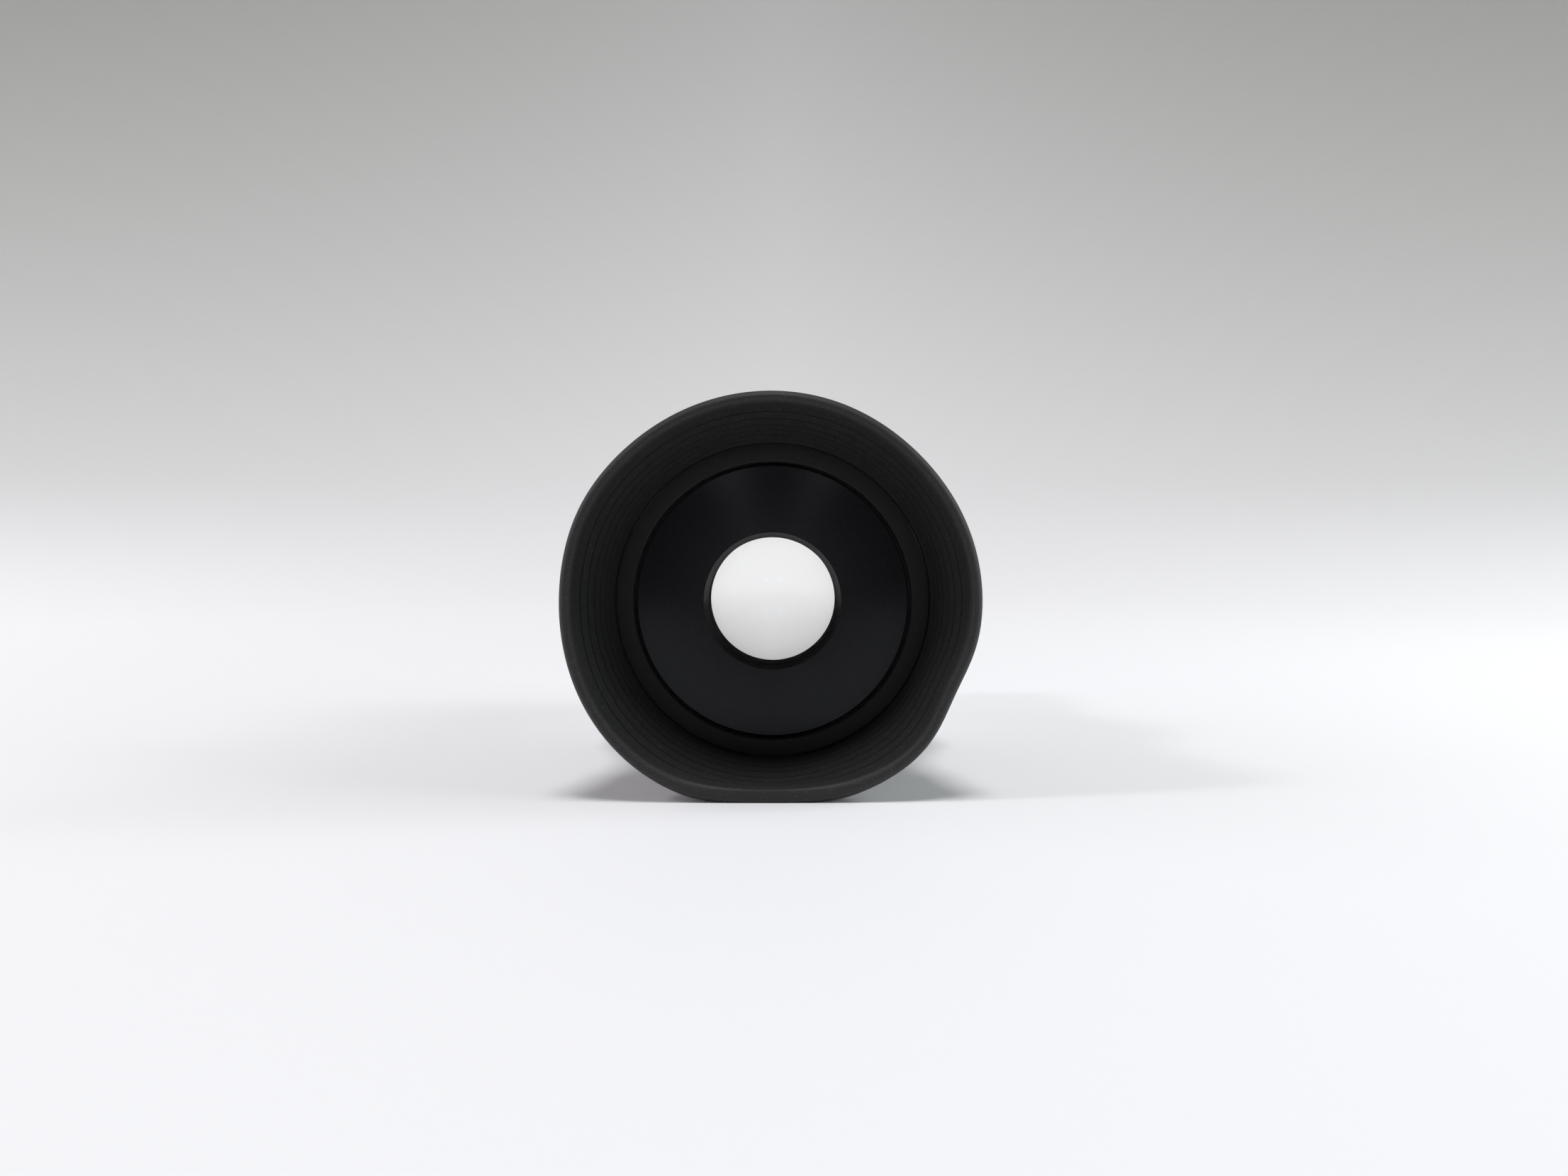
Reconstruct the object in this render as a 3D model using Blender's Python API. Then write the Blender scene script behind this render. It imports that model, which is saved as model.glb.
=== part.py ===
"""A 1.25 inch telescope eyepiece with a fold-down rubber eyecup, lying on its side on a table.

The optical axis runs along +Y at AXIS_HEIGHT above the table, with the eye end towards -Y. The origin
is on the table, below the middle of the eyepiece. Every turned piece is described by an outline of
(radius, station) points in millimetres, where a station is the distance behind the eyecup's rim.
"""

import math

import bmesh
import bpy

MM = 0.001

# Whole eyepiece
LENGTH = 65.0
AXIS_HEIGHT = 20.4
GAP = 0.3  # clearance between neighbours that touch or screw together
EDGE = 0.4  # chamfer on turned edges
SIDES = 48
FINE_SIDES = 72
LENS_SIDES = 40
SCREW_SIDES = 12
CUT_MARGIN = 1.0  # how far a cutter runs past the surface it opens

# Stations of the main faces
FACE_AT = 11.4
COLLAR_END_AT = 22.2
FLANGE_AT = 22.6
JOINT_AT = 25.0
SHOULDER_AT = 38.4
STOP_AT = 48.1

# Eyecup
CUP_DEPTH = 11.5
CUP_ROOT_RADIUS = 17.8
CUP_FLARE = 3.4
CUP_FLARE_POWER = 1.8
CUP_WALL_AT_RIM = 1.4
CUP_WALL_AT_ROOT = 1.7
CUP_ROOT_AT = 11.3
LIP_AT = 1.1
LIP_INNER_AT = 0.5
LIP_CREST_RADIUS = 20.95
LEDGE_HOLE_RADIUS = 15.65
LEDGE_THICKNESS = 1.7
COLLAR_RADIUS = 17.6
COLLAR_BORE_RADIUS = 16.2

# How the soft skirt has settled: its rim is pushed up by the table, flat below, with one dent
RIM_LIFT = 0.55
DENT_DEPTH = 0.6
DENT_ANGLE = math.radians(26.0)
DENT_WIDTH = math.radians(8.5)

# Casings
PLATE_RADIUS = 15.3
PLATE_THICKNESS = 4.0
PLATE_FLANGE = 1.9
PLATE_EDGE = 0.2
EYE_HOLE_RADIUS = 7.2
EYE_CHAMFER_WIDTH = 0.55
EYE_CHAMFER_DEPTH = 0.33
THREAD_RADIUS = 14.6
HEAD_RADIUS = 15.95
FLANGE_RADIUS = 18.8
SPIGOT_RADIUS = 15.2
SPIGOT_LENGTH = 2.6
CASING_BORE_RADIUS = 12.4
BODY_RADIUS = 18.7
GRIP_SEAT_RADIUS = 17.3
GRIP_FROM = 26.4
GRIP_TO = 35.2
GRIP_RADIUS = AXIS_HEIGHT
GRIP_GROOVE = 0.6
GRIP_SHOULDER = 0.8
COUNTERBORE_DEPTH = 3.6
SEAL_SECTION = 0.35
SEAL_POINTS = 6

# Nosepiece, for a 31.75 mm focuser
BARREL_RADIUS = 15.85
BARREL_BORE_RADIUS = 13.9
BARREL_THREAD_LENGTH = 3.8
BARREL_RECESS = 0.5
UNDERCUT_FROM = 43.0
UNDERCUT_TO = 51.0
UNDERCUT_DEPTH = 0.5
FILTER_THREAD_RADIUS = 14.3
FILTER_THREAD_DEPTH = 5.0
STOP_RADIUS = 8.7
STOP_THICKNESS = 1.0
STOP_EDGE = 0.2

# Locking screws
SCREW_COUNT = 3
SCREW_AT = 36.5
SCREW_RADIUS = 0.8
SCREW_TIP_RADIUS = 15.1
SCREW_END_RADIUS = 18.2
SOCKET_RADIUS = 0.4
SOCKET_DEPTH = 0.8

# Lens stack: two equal cemented doublets with their crowns face to face
LENS_RADIUS = 9.0
LENS_CURVE = 17.4
CROWN_THICKNESS = 6.0
FLINT_THICKNESS = 1.5
CEMENT = 0.15
CROWN_SEPARATION = 0.5
LENS_RINGS = 4
CELL_RADIUS = 12.1
CELL_BORE_RADIUS = 9.3
CELL_LIP = 0.8
CELL_LENGTH = 21.3
WASHER_THICKNESS = 0.25
WASHER_BORE_RADIUS = 7.6
SPACER_BORE_RADIUS = 8.3
RETAINER_BORE_RADIUS = 8.0
RETAINER_LENGTH = 2.2
SPANNER_SLOT_WIDTH = 1.6
SPANNER_SLOT_DEPTH = 0.9
CELL_AT = FACE_AT + PLATE_THICKNESS + GAP
STACK_AT = CELL_AT + CELL_LIP + WASHER_THICKNESS + 2 * GAP


def clear_scene():
    """Removes whatever the scene holds."""
    for thing in list(bpy.data.objects):
        bpy.data.objects.remove(thing, do_unlink=True)


def surface(name, colour, roughness, metallic=0.0):
    """A plain Principled material."""
    material = bpy.data.materials.new(name)
    material.use_nodes = True
    shader = material.node_tree.nodes["Principled BSDF"]
    shader.inputs["Base Color"].default_value = (*colour, 1.0)
    shader.inputs["Roughness"].default_value = roughness
    shader.inputs["Metallic"].default_value = metallic
    return material


def make_axis():
    """The optical axis: an empty whose +Z points from the eye end to the nosepiece, and +Y down."""
    axis = bpy.data.objects.new("optical_axis", None)
    axis.location = (0.0, -LENGTH / 2 * MM, AXIS_HEIGHT * MM)
    axis.rotation_euler = (-math.pi / 2, 0.0, 0.0)
    bpy.context.scene.collection.objects.link(axis)
    return axis


def add_object(name, shape, axis, material, station=0.0):
    """Turns a bmesh into a smooth-shaded object on the optical axis."""
    shape.normal_update()
    bmesh.ops.recalc_face_normals(shape, faces=shape.faces)
    mesh = bpy.data.meshes.new(name)
    shape.to_mesh(mesh)
    shape.free()
    mesh.shade_smooth()
    mesh.set_sharp_from_angle(angle=math.radians(30))
    mesh.materials.append(material)
    thing = bpy.data.objects.new(name, mesh)
    thing.parent = axis
    thing.location = (0.0, 0.0, station * MM)
    bpy.context.scene.collection.objects.link(thing)
    return thing


def spun(outline, sides=SIDES):
    """A solid turned from its outline. An outline that starts and ends on the axis is left open there."""
    shape = bmesh.new()
    points = [shape.verts.new((r * MM, 0.0, s * MM)) for r, s in outline]
    pairs = list(zip(points, points[1:]))
    solid_core = outline[0][0] == 0.0 and outline[-1][0] == 0.0
    if not solid_core:
        pairs.append((points[-1], points[0]))
    edges = [shape.edges.new(pair) for pair in pairs]
    bmesh.ops.spin(
        shape,
        geom=points + edges,
        cent=(0.0, 0.0, 0.0),
        axis=(0.0, 0.0, 1.0),
        angle=math.tau,
        steps=sides,
        use_merge=True,
    )
    bmesh.ops.remove_doubles(shape, verts=shape.verts, dist=0.001 * MM)
    return shape


def ring(inner, outer, front, length):
    """The outline of a plain ring."""
    back = front + length
    return [(inner, front), (outer, front), (outer, back), (inner, back)]


def quarter_arc(start, end, corner, steps):
    """Points on the quarter ellipse from start to end that bulges towards their shared corner."""
    centre = (start[0] + end[0] - corner[0], start[1] + end[1] - corner[1])
    turns = [math.pi / 2 * step / steps for step in range(steps + 1)]
    return [
        tuple(
            c + (a - c) * math.cos(turn) + (b - c) * math.sin(turn)
            for a, b, c in zip(start, end, centre)
        )
        for turn in turns
    ]


def cup_inner_radius(station):
    """The bell-shaped inside of the eyecup's skirt, before it settles."""
    rise = max(0.0, (CUP_DEPTH - station) / CUP_DEPTH)
    return CUP_ROOT_RADIUS + CUP_FLARE * rise**CUP_FLARE_POWER


def cup_outer_radius(station):
    """The outside of the skirt. Its wall thins from the root to the rim."""
    station = max(station, LIP_AT)
    share = (station - LIP_AT) / (CUP_ROOT_AT - LIP_AT)
    wall = CUP_WALL_AT_RIM + (CUP_WALL_AT_ROOT - CUP_WALL_AT_RIM) * share
    return cup_inner_radius(station) + wall


def settle(x, down, station):
    """Moves a point of the skirt to where the soft rubber has settled on the table."""
    reach = max(0.0, 1.0 - station / CUP_DEPTH)
    angle = math.atan2(down, x)
    dent = DENT_DEPTH * reach * math.exp(-0.5 * ((angle - DENT_ANGLE) / DENT_WIDTH) ** 2)
    radius = math.hypot(x, down) - dent
    lift = RIM_LIFT * reach
    outside = (cup_outer_radius(station) - dent) * math.sin(angle) - lift
    flattened = max(0.0, outside - AXIS_HEIGHT)
    return radius * math.cos(angle), radius * math.sin(angle) - lift - flattened


def make_eyecup_skirt(axis, rubber):
    """The flared skirt, which folds back round the head."""
    inner_stations = [CUP_ROOT_AT, 8.2, 5.2, 2.8, 1.4]
    outer_stations = [2.2, 4.0, 7.0, CUP_ROOT_AT]
    lip_inside = (cup_inner_radius(LIP_INNER_AT), LIP_INNER_AT)
    lip_crest = (LIP_CREST_RADIUS, 0.0)
    lip_outside = (cup_outer_radius(LIP_AT), LIP_AT)
    outline = [(cup_inner_radius(s), s) for s in inner_stations]
    outline += quarter_arc(lip_inside, lip_crest, (lip_inside[0], 0.0), 2)
    outline += quarter_arc(lip_crest, lip_outside, (lip_outside[0], 0.0), 3)[1:]
    outline += [(cup_outer_radius(s), s) for s in outer_stations]
    shape = spun(outline, FINE_SIDES)
    for vert in shape.verts:
        x, down, station = (value / MM for value in vert.co)
        x, down = settle(x, down, station)
        vert.co.x = x * MM
        vert.co.y = down * MM
    add_object("eyecup_skirt", shape, axis, rubber)


def make_eyecup_collar(axis, rubber):
    """The eyecup's sleeve round the head, with the ledge that covers the head's front edge."""
    ledge_back = CUP_DEPTH + LEDGE_THICKNESS
    outline = [
        (LEDGE_HOLE_RADIUS, CUP_DEPTH),
        (COLLAR_RADIUS, CUP_DEPTH),
        (COLLAR_RADIUS, COLLAR_END_AT),
        (COLLAR_BORE_RADIUS, COLLAR_END_AT),
        (COLLAR_BORE_RADIUS, ledge_back),
        (LEDGE_HOLE_RADIUS, ledge_back),
    ]
    add_object("eyecup_collar", spun(outline), axis, rubber)


def make_face_plate(axis, anodised):
    """The disc round the eye lens, with a threaded boss behind its flange."""
    boss = THREAD_RADIUS - GAP
    outline = [
        (EYE_HOLE_RADIUS + EYE_CHAMFER_WIDTH, 0.0),
        (PLATE_RADIUS - PLATE_EDGE, 0.0),
        (PLATE_RADIUS, PLATE_EDGE),
        (PLATE_RADIUS, PLATE_FLANGE),
        (boss, PLATE_FLANGE),
        (boss, PLATE_THICKNESS),
        (EYE_HOLE_RADIUS, PLATE_THICKNESS),
        (EYE_HOLE_RADIUS, EYE_CHAMFER_DEPTH),
    ]
    add_object("face_plate", spun(outline), axis, anodised, FACE_AT)


def make_head_shell(axis, anodised):
    """The casing between the face plate and the main body."""
    front = CUP_DEPTH + LEDGE_THICKNESS + GAP
    plate_seat = FACE_AT + PLATE_THICKNESS + GAP
    spigot_end = JOINT_AT + SPIGOT_LENGTH
    outline = [
        (THREAD_RADIUS, front),
        (HEAD_RADIUS, front),
        (HEAD_RADIUS, FLANGE_AT),
        (FLANGE_RADIUS - EDGE, FLANGE_AT),
        (FLANGE_RADIUS, FLANGE_AT + EDGE),
        (FLANGE_RADIUS, JOINT_AT - EDGE),
        (FLANGE_RADIUS - EDGE, JOINT_AT),
        (SPIGOT_RADIUS, JOINT_AT),
        (SPIGOT_RADIUS, spigot_end),
        (CASING_BORE_RADIUS, spigot_end),
        (CASING_BORE_RADIUS, plate_seat),
        (THREAD_RADIUS, plate_seat),
    ]
    add_object("head_shell", spun(outline), axis, anodised)


def make_o_ring(axis, nitrile):
    """The seal at the end of the head's spigot."""
    centre_radius = (CASING_BORE_RADIUS + SPIGOT_RADIUS) / 2
    centre_station = JOINT_AT + SPIGOT_LENGTH + GAP + SEAL_SECTION
    turns = [math.tau * k / SEAL_POINTS for k in range(SEAL_POINTS)]
    outline = [
        (centre_radius + SEAL_SECTION * math.cos(t), centre_station + SEAL_SECTION * math.sin(t))
        for t in turns
    ]
    add_object("o_ring", spun(outline, LENS_SIDES), axis, nitrile)


def screw_turns():
    """The angles of the locking screws about the axis, from +X towards the table; one is on top."""
    return [-math.pi / 2 + math.tau * k / SCREW_COUNT for k in range(SCREW_COUNT)]


def radial_cylinder(radius, tip, end, turn):
    """A cylinder along the radius at that turn, between the two distances from the axis."""
    shape = bmesh.new()
    bmesh.ops.create_cone(
        shape,
        cap_ends=True,
        segments=SCREW_SIDES,
        radius1=radius * MM,
        radius2=radius * MM,
        depth=(end - tip) * MM,
    )
    for vert in shape.verts:
        along = vert.co.z + (tip + end) / 2 * MM
        across = vert.co.x
        vert.co.z = vert.co.y
        vert.co.x = along * math.cos(turn) - across * math.sin(turn)
        vert.co.y = along * math.sin(turn) + across * math.cos(turn)
    shape.normal_update()
    return shape


def cut(thing, cutter):
    """Subtracts a hidden cutter from an object."""
    cutter.hide_render = True
    cutter.display_type = "WIRE"
    modifier = thing.modifiers.new(cutter.name, "BOOLEAN")
    modifier.operation = "DIFFERENCE"
    modifier.solver = "EXACT"
    modifier.object = cutter


def make_main_body(axis, anodised):
    """The lower casing: grip seat outside, bores for the head's spigot and the nosepiece's thread inside."""
    front = JOINT_AT + GAP
    counterbore_radius = SPIGOT_RADIUS + GAP
    counterbore_end = front + COUNTERBORE_DEPTH
    thread_bore = THREAD_RADIUS + GAP
    recess_radius = BARREL_RADIUS + GAP
    recess_front = SHOULDER_AT - BARREL_RECESS
    thread_front = recess_front - BARREL_THREAD_LENGTH
    outline = [
        (counterbore_radius, front),
        (BODY_RADIUS - EDGE, front),
        (BODY_RADIUS, front + EDGE),
        (BODY_RADIUS, GRIP_FROM),
        (GRIP_SEAT_RADIUS, GRIP_FROM),
        (GRIP_SEAT_RADIUS, GRIP_TO),
        (BODY_RADIUS, GRIP_TO),
        (BODY_RADIUS, SHOULDER_AT - EDGE),
        (BODY_RADIUS - EDGE, SHOULDER_AT),
        (recess_radius, SHOULDER_AT),
        (recess_radius, recess_front),
        (thread_bore, recess_front),
        (thread_bore, thread_front),
        (CASING_BORE_RADIUS, thread_front),
        (CASING_BORE_RADIUS, counterbore_end),
        (counterbore_radius, counterbore_end),
    ]
    body = add_object("main_body", spun(outline), axis, anodised)
    for number, turn in enumerate(screw_turns(), 1):
        hole = radial_cylinder(SCREW_RADIUS + GAP, THREAD_RADIUS, BODY_RADIUS + CUT_MARGIN, turn)
        cut(body, add_object(f"screw_hole_{number}", hole, axis, anodised, SCREW_AT))


def make_set_screws(axis, steel):
    """The grub screws that lock the nosepiece, each with a socket in its outer end."""
    for number, turn in enumerate(screw_turns(), 1):
        shape = radial_cylinder(SCREW_RADIUS, SCREW_TIP_RADIUS, SCREW_END_RADIUS, turn)
        outer_end = max(shape.faces, key=lambda face: face.calc_center_median().to_2d().length)
        outwards = outer_end.normal.copy()
        bmesh.ops.inset_region(
            shape, faces=[outer_end], thickness=(SCREW_RADIUS - SOCKET_RADIUS) * MM
        )
        for vert in outer_end.verts:
            vert.co -= outwards * SOCKET_DEPTH * MM
        add_object(f"set_screw_{number}", shape, axis, steel, SCREW_AT)


def make_grip_ring(axis, rubber):
    """The ribbed rubber band round the main body. Every second side of its outer face is a rib's crest."""
    front = GRIP_FROM + GAP
    back = GRIP_TO - GAP
    inner = GRIP_SEAT_RADIUS + GAP
    shoulder_radius = GRIP_RADIUS - GRIP_SHOULDER
    outline = [
        (inner, front),
        (shoulder_radius, front),
        (GRIP_RADIUS, front + GRIP_SHOULDER),
        (GRIP_RADIUS, back - GRIP_SHOULDER),
        (shoulder_radius, back),
        (inner, back),
    ]
    shape = spun(outline, FINE_SIDES)
    for vert in shape.verts:
        radius = vert.co.to_2d().length
        side = round(math.atan2(vert.co.y, vert.co.x) / math.tau * FINE_SIDES)
        if side % 2 and radius > (GRIP_RADIUS - GRIP_SHOULDER / 2) * MM:
            vert.co.xy *= (GRIP_RADIUS - GRIP_GROOVE) / GRIP_RADIUS
    add_object("grip_ring", shape, axis, rubber)


def make_nosepiece(axis, chrome):
    """The barrel that slides into the focuser, with a safety undercut and a filter thread at its end."""
    shoulder = SHOULDER_AT - BARREL_RECESS + GAP
    thread_front = shoulder - BARREL_THREAD_LENGTH
    undercut_radius = BARREL_RADIUS - UNDERCUT_DEPTH
    filter_front = LENGTH - FILTER_THREAD_DEPTH
    outline = [
        (BARREL_BORE_RADIUS, thread_front),
        (THREAD_RADIUS, thread_front),
        (THREAD_RADIUS, shoulder),
        (BARREL_RADIUS, shoulder),
        (BARREL_RADIUS, UNDERCUT_FROM),
        (undercut_radius, UNDERCUT_FROM + UNDERCUT_DEPTH),
        (undercut_radius, UNDERCUT_TO - UNDERCUT_DEPTH),
        (BARREL_RADIUS, UNDERCUT_TO),
        (BARREL_RADIUS, LENGTH - EDGE),
        (BARREL_RADIUS - EDGE, LENGTH),
        (FILTER_THREAD_RADIUS, LENGTH),
        (FILTER_THREAD_RADIUS, filter_front),
        (BARREL_BORE_RADIUS, filter_front - EDGE),
    ]
    add_object("nosepiece", spun(outline), axis, chrome)


def make_field_stop(axis, blackened):
    """The thin ring at the focal plane, bevelled to a fine edge."""
    outer = BARREL_BORE_RADIUS - GAP
    middle = STOP_THICKNESS / 2
    outline = [
        (STOP_RADIUS, -STOP_EDGE / 2),
        (STOP_RADIUS + middle, -middle),
        (outer, -middle),
        (outer, middle),
        (STOP_RADIUS, STOP_EDGE / 2),
    ]
    add_object("field_stop", spun(outline), axis, blackened, STOP_AT)


def make_lens_cell(axis, blackened):
    """The tube that holds the lens stack, with a lip in front of the eye lens."""
    outline = [
        (EYE_HOLE_RADIUS, 0.0),
        (CELL_RADIUS, 0.0),
        (CELL_RADIUS, CELL_LENGTH),
        (CELL_BORE_RADIUS, CELL_LENGTH),
        (CELL_BORE_RADIUS, CELL_LIP),
        (EYE_HOLE_RADIUS, CELL_LIP),
    ]
    add_object("lens_cell", spun(outline), axis, blackened, CELL_AT)


def sag(radius):
    """How far a lens surface has curved away from its vertex plane at that radius."""
    return LENS_CURVE - math.sqrt(LENS_CURVE**2 - radius**2)


def lens_surface(vertex, direction):
    """Points from the axis to the rim of a curved surface; direction 1 curves towards the nosepiece."""
    radii = [LENS_RADIUS * k / LENS_RINGS for k in range(LENS_RINGS + 1)]
    return [(r, vertex + direction * sag(r)) for r in radii]


def make_doublet(axis, side, flint_glass, crown_glass, flip):
    """One cemented pair. The eye-side pair starts at STACK_AT, and the field-side pair mirrors it."""
    middle = STACK_AT + FLINT_THICKNESS + CEMENT + CROWN_THICKNESS + CROWN_SEPARATION / 2

    def place(points):
        return [(r, 2 * middle - s) for r, s in points] if flip else points

    flint_back = STACK_AT + FLINT_THICKNESS
    crown_front = flint_back + CEMENT
    crown_back = crown_front + CROWN_THICKNESS
    flint = [(0.0, STACK_AT), (LENS_RADIUS, STACK_AT)] + lens_surface(flint_back, 1)[::-1]
    crown = lens_surface(crown_front, 1) + lens_surface(crown_back, -1)[::-1]
    add_object(f"{side}_lens_flint", spun(place(flint), LENS_SIDES), axis, flint_glass)
    add_object(f"{side}_lens_crown", spun(place(crown), LENS_SIDES), axis, crown_glass)
    return 2 * middle - STACK_AT


def make_lens_spacer(axis, blackened):
    """The ring between the doublets. Its ends slope with the lenses that it touches."""
    crown_rim = STACK_AT + FLINT_THICKNESS + CEMENT + CROWN_THICKNESS
    inner_front = crown_rim - sag(SPACER_BORE_RADIUS) + GAP
    outer_front = crown_rim - sag(LENS_RADIUS) + GAP
    middle = crown_rim + CROWN_SEPARATION / 2
    outline = [
        (SPACER_BORE_RADIUS, inner_front),
        (LENS_RADIUS, outer_front),
        (LENS_RADIUS, 2 * middle - outer_front),
        (SPACER_BORE_RADIUS, 2 * middle - inner_front),
    ]
    add_object("lens_spacer", spun(outline, LENS_SIDES), axis, blackened)


def make_lens_retainer(axis, blackened, front):
    """The threaded ring behind the stack, with two slots across its rear face for a spanner."""
    outline = ring(RETAINER_BORE_RADIUS, LENS_RADIUS, front, RETAINER_LENGTH)
    retainer = add_object("lens_retainer", spun(outline, LENS_SIDES), axis, blackened)
    slot = bmesh.new()
    bmesh.ops.create_cube(slot, size=MM)
    for vert in slot.verts:
        vert.co.x *= 2 * (LENS_RADIUS + CUT_MARGIN)
        vert.co.y *= SPANNER_SLOT_WIDTH
        vert.co.z *= 2 * SPANNER_SLOT_DEPTH
    back = front + RETAINER_LENGTH
    cut(retainer, add_object("spanner_slot", slot, axis, blackened, back))


def make_optics(axis):
    """The lens cell and everything in it, from the eye side to the field side."""
    flint_glass = surface("flint_glass", (0.92, 0.95, 0.93), 0.02)
    crown_glass = surface("crown_glass", (0.95, 0.97, 0.98), 0.02)
    blackened = surface("blackened_metal", (0.012, 0.012, 0.013), 0.6, 0.4)
    mylar = surface("washer_film", (0.02, 0.02, 0.02), 0.7)
    make_lens_cell(axis, blackened)
    first_washer = ring(WASHER_BORE_RADIUS, LENS_RADIUS, 0.0, WASHER_THICKNESS)
    washer_at = STACK_AT - GAP - WASHER_THICKNESS
    add_object("eye_washer", spun(first_washer, LENS_SIDES), axis, mylar, washer_at)
    make_doublet(axis, "eye", flint_glass, crown_glass, flip=False)
    make_lens_spacer(axis, blackened)
    stack_end = make_doublet(axis, "field", flint_glass, crown_glass, flip=True)
    last_washer = ring(RETAINER_BORE_RADIUS, LENS_RADIUS, 0.0, WASHER_THICKNESS)
    add_object("field_washer", spun(last_washer, LENS_SIDES), axis, mylar, stack_end + GAP)
    make_lens_retainer(axis, blackened, stack_end + WASHER_THICKNESS + 2 * GAP)
    make_field_stop(axis, blackened)


def make_casings(axis):
    """The metal casings with their seal, grip and screws."""
    anodised = surface("black_anodised", (0.014, 0.015, 0.018), 0.38, 0.6)
    chrome = surface("chrome", (0.8, 0.81, 0.83), 0.12, 1.0)
    steel = surface("black_steel", (0.05, 0.05, 0.055), 0.35, 0.9)
    nitrile = surface("nitrile", (0.01, 0.01, 0.01), 0.6)
    grip_rubber = surface("grip_rubber", (0.022, 0.022, 0.023), 0.75)
    make_face_plate(axis, anodised)
    make_head_shell(axis, anodised)
    make_o_ring(axis, nitrile)
    make_main_body(axis, anodised)
    make_set_screws(axis, steel)
    make_grip_ring(axis, grip_rubber)
    make_nosepiece(axis, chrome)


def make_eyecup(axis):
    """The rubber eyecup: its collar stays on the head and its skirt moves."""
    cup_rubber = surface("cup_rubber", (0.03, 0.03, 0.031), 0.8)
    make_eyecup_skirt(axis, cup_rubber)
    make_eyecup_collar(axis, cup_rubber)


clear_scene()
optical_axis = make_axis()
make_eyecup(optical_axis)
make_casings(optical_axis)
make_optics(optical_axis)
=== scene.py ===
"""The looks of a 1.25 inch eyepiece with a fold-down rubber eyecup, lying on a pale table.

Lengths are in millimetres until a mesh is made, and in metres for the paper and the lights.
A turned piece is described by points of (radius, station): the distance from the optical axis
and the distance behind the eyecup's rim. A third number in a corner is its fillet.
"""

import math

import bmesh
import bpy
import numpy as np
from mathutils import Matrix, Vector


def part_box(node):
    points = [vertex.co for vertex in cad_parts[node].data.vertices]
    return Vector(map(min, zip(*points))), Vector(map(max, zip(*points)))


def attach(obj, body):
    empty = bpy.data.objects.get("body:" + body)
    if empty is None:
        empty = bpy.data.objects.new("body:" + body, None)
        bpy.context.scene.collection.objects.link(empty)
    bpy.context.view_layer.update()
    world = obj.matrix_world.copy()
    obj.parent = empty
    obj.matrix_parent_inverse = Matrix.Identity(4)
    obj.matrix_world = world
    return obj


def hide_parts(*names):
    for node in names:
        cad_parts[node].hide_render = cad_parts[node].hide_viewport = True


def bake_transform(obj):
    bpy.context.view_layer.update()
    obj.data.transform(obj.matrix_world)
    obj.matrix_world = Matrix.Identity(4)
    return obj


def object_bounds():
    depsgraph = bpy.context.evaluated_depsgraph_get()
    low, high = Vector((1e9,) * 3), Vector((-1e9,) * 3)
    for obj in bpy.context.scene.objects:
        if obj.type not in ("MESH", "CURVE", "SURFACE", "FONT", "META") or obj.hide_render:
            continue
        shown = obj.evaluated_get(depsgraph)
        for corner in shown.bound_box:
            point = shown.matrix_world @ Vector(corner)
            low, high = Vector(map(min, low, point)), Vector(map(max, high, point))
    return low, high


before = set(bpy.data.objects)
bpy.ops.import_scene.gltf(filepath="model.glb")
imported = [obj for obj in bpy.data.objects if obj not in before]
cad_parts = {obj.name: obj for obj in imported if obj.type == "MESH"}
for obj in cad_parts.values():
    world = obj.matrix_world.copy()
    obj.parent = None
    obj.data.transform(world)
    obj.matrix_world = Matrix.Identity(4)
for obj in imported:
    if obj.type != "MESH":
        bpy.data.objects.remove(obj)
cad_low, cad_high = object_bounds()

MM = 0.001
SEGMENTS = 256
SHARP_ANGLE = math.radians(35.0)
MERGE_DISTANCE = 0.0005
TOLERANCE = 0.01
NOISE_LOW, NOISE_HIGH = 0.3, 0.7
RIM_Y = cad_low.y / MM
barrel_low, barrel_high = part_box("nosepiece")
AXIS_Z = (barrel_low.z + barrel_high.z) / 2 / MM


def extent(node):
    """A turned CAD node's outer radius and the stations of its front and back."""
    low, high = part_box(node)
    return (high.x - low.x) / 2 / MM, low.y / MM - RIM_Y, high.y / MM - RIM_Y


# What the CAD nodes in model.glb say
COLLAR_RADIUS, LEDGE_AT, COLLAR_END = extent("eyecup_collar")
PLATE_RADIUS, FACE_AT, PLATE_BACK = extent("face_plate")
FLANGE_RADIUS, _, SPIGOT_END = extent("head_shell")
BODY_RADIUS, BODY_AT, SHOULDER_AT = extent("main_body")
GRIP_RADIUS, GRIP_AT, GRIP_END = extent("grip_ring")
BARREL_RADIUS, BARREL_AT, BARREL_END = extent("nosepiece")
CELL_RADIUS, CELL_AT, CELL_END = extent("lens_cell")
STOP_RADIUS, STOP_AT, STOP_END = extent("field_stop")
LENS_RADIUS, EYE_FLINT_AT, _ = extent("eye_lens_flint")
CROWN_BACK = extent("eye_lens_crown")[2]
FIELD_FLINT_END = extent("field_lens_flint")[2]
SPACER_RADIUS, SPACER_AT, SPACER_END = extent("lens_spacer")
RETAINER_RADIUS, RETAINER_AT, RETAINER_END = extent("lens_retainer")
SEAL_RADIUS, SEAL_AT, SEAL_END = extent("o_ring")

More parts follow.
